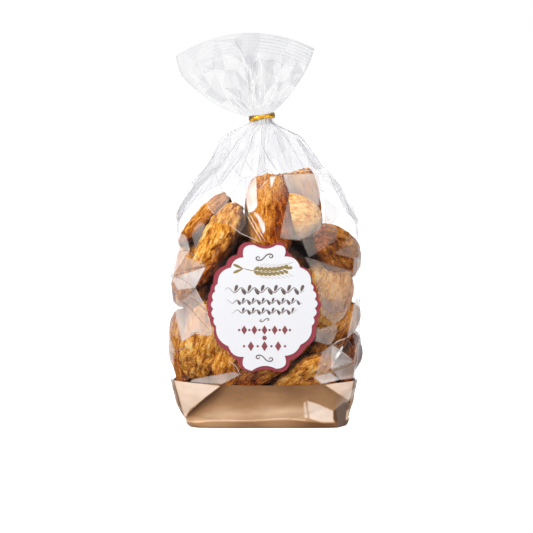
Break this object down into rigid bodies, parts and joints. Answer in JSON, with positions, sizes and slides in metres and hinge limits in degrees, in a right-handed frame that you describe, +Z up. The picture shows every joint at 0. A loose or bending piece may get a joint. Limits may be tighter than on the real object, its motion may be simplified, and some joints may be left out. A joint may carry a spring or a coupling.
{
  "type": "bag of breakfast biscuits",
  "caption": "Clear film bag of rustic breakfast biscuits on a bronze block bottom, with a scalloped paper label and a gold twist tie round the gathered neck.",
  "frame": {"origin": "middle of the block bottom, on the surface that the bag stands on", "axes": "+Z up, -Y towards the front with the label, +X to the right as the front is seen"},
  "size_m": [0.1211, 0.0749, 0.2409],
  "materials": {
    "clear_film": "clear, glossy, creased film",
    "bronze_print": "satin metallic bronze print on film",
    "label_paper": "smooth coated paper",
    "label_rose": "smooth coated paper",
    "gold_tie": "metallic gold ribbon over wire",
    "biscuit": "baked, dry, cracked crust"
  },
  "bodies": {
    "root": {"bronze_base": "bronze_print", "film_bag": "clear_film", "label_backing": "label_rose", "label_face": "label_paper", "twist_tie": "gold_tie"}
  },
  "joints": []
}
